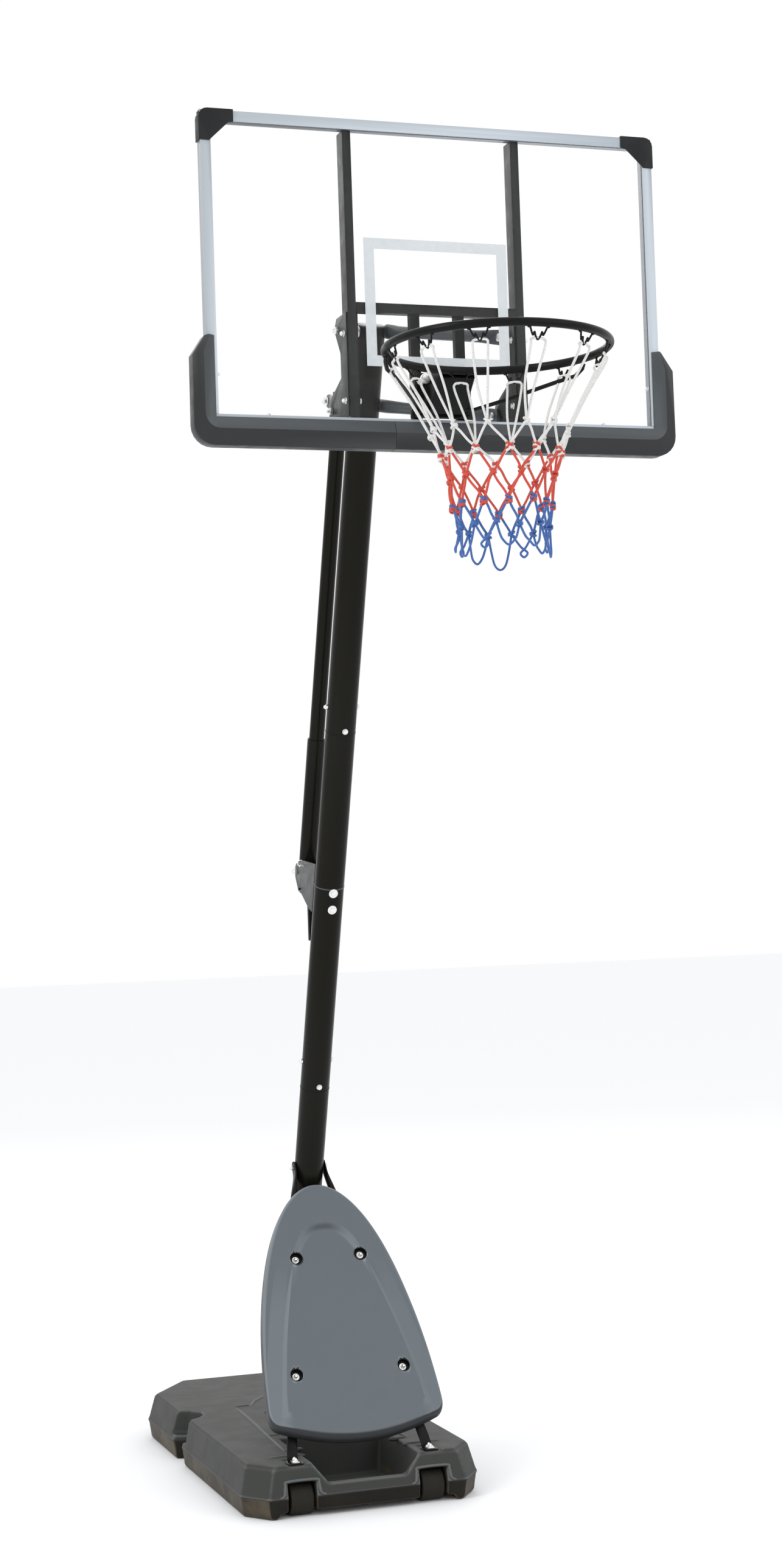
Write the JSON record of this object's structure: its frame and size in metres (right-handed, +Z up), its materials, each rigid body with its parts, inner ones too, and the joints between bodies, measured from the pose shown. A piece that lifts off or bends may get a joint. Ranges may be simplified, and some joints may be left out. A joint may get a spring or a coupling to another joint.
{
  "type": "portable basketball hoop",
  "caption": "Portable basketball hoop on a wheeled ballast base, with a leaning pole, parallel lift arms, a clear backboard with a padded lower edge, and a sprung rim with a net.",
  "frame": {"origin": "middle of the base's flat underside, on the floor", "axes": "+Z up, -Y towards the court (the rim side), +X to the right seen from the court"},
  "size_m": [1.129, 2.6261, 3.2265],
  "materials": {
    "moulded": "matte",
    "shield": "matte",
    "pad": "satin",
    "trim": "matte",
    "pole": "satin",
    "arm": "satin",
    "plate": "satin",
    "black": "satin",
    "rubber": "matte",
    "silver": "satin",
    "zinc": "satin",
    "clear": "clear",
    "net": "woven"
  },
  "bodies": {
    "base": {"base_tank": "moulded", "pole_lower": "pole", "pole_middle": "pole", "pole_upper": "pole", "pole_cap": "arm", "joint_bolt_upper": "zinc", "joint_bolt_lower": "zinc", "strut_bolt": "zinc", "arm_bolt_upper": "zinc", "arm_bolt_lower": "zinc", "bracket_bolt_upper": "zinc", "bracket_bolt_lower": "zinc", "shield": "shield", "lift_bracket": "plate", "lift_bolt": "zinc", "wheel_axle_left": "zinc", "wheel_axle_right": "zinc", "strut_left": "black", "strut_right": "black", "foot_bolts_left": "zinc", "foot_bolts_right": "zinc", "shield_bolt_upper_left": "zinc", "shield_bolt_upper_right": "zinc", "shield_bolt_lower_left": "zinc", "shield_bolt_lower_right": "zinc"},
    "upper_arms": {"upper_arm_left": "arm", "upper_arm_right": "arm"},
    "lower_arms": {"lower_arm_left": "arm", "lower_arm_right": "arm"},
    "backboard": {"frame_left": "silver", "frame_right": "silver", "frame_top": "silver", "frame_bottom": "silver", "clear_panel": "clear", "rear_crossbars": "black", "rim_hinge_bar": "black", "corner_cap_left": "trim", "corner_cap_right": "trim", "pad_left": "pad", "pad_right": "pad", "mast_left": "black", "mast_right": "black", "board_bolt_upper_left": "zinc", "board_bolt_upper_right": "zinc", "board_bolt_lower_left": "zinc", "board_bolt_lower_right": "zinc", "rim_bolt_left": "zinc", "rim_bolt_right": "zinc", "rim_spring_left": "zinc", "rim_spring_right": "zinc"},
    "rim": {"rim_ring": "black", "rim_bracket": "black", "net": "net"},
    "lift_outer": {"lift_sleeve": "pole"},
    "lift_inner": {"lift_tube": "pole"},
    "wheel_left": {"wheel_left": "rubber"},
    "wheel_right": {"wheel_right": "rubber"},
    "filler_cap": {"filler_cap": "trim"},
    "lock_pin": {"lock_pin": "zinc"},
    "lock_lever": {"lock_lever": "black"}
  },
  "joints": [
    {"name": "arm_raise", "type": "hinge", "parent": "base", "child": "lower_arms", "pos_m": [0, -0.8624, 2.70161], "axis": [-1, 0, 0], "range_deg": [-20, 58.8]},
    {"name": "upper_arm_swing", "type": "hinge", "parent": "base", "child": "upper_arms", "pos_m": [0, -0.92312, 2.87], "axis": [-1, 0, 0], "range_deg": [-20, 58.8]},
    {"name": "board_level", "type": "hinge", "parent": "lower_arms", "child": "backboard", "pos_m": [0, -1.2774, 2.59961], "axis": [-1, 0, 0], "range_deg": [-58.8, 20]},
    {"name": "lift_swing", "type": "hinge", "parent": "base", "child": "lift_outer", "pos_m": [0, -0.2527, 1.585], "axis": [1, 0, 0], "range_deg": [-1.5, 4.1]},
    {"name": "lift_slide", "type": "slide", "parent": "lift_outer", "child": "lift_inner", "axis": [0, -0.3399, 0.9405], "range_m": [-0.1621, 0.0565]},
    {"name": "rim_breakaway", "type": "hinge", "parent": "backboard", "child": "rim", "pos_m": [0, -1.418, 2.562], "axis": [1, 0, 0], "range_deg": [0, 12], "stiffness_Nm_per_rad": 400, "springref_deg": -14.32, "deforming": ["rim_spring_left", "rim_spring_right"]},
    {"name": "wheel_left_spin", "type": "hinge", "parent": "base", "child": "wheel_left", "pos_m": [-0.17, -0.574, 0.0405], "axis": [1, 0, 0], "continuous": true},
    {"name": "wheel_right_spin", "type": "hinge", "parent": "base", "child": "wheel_right", "pos_m": [0.17, -0.574, 0.0405], "axis": [1, 0, 0], "continuous": true},
    {"name": "filler_cap_lift", "type": "slide", "parent": "base", "child": "filler_cap", "axis": [0, 0, 1], "range_m": [0, 0.05]},
    {"name": "lock_pin_pull", "type": "slide", "parent": "base", "child": "lock_pin", "axis": [-1, 0, 0], "range_m": [0, 0.07]},
    {"name": "lock_lever_swing", "type": "hinge", "parent": "base", "child": "lock_lever", "pos_m": [0, -0.28, 1.539], "axis": [1, 0, 0], "range_deg": [-20, 45]}
  ],
  "couplings": [
    {"joint": "upper_arm_swing", "follows": "arm_raise", "ratio": 1},
    {"joint": "board_level", "follows": "arm_raise", "ratio": -1},
    {"joint": "lift_swing", "follows": "arm_raise", "ratio": 0.0675},
    {"joint": "lift_slide", "follows": "arm_raise", "m_per_rad": -0.156}
  ]
}
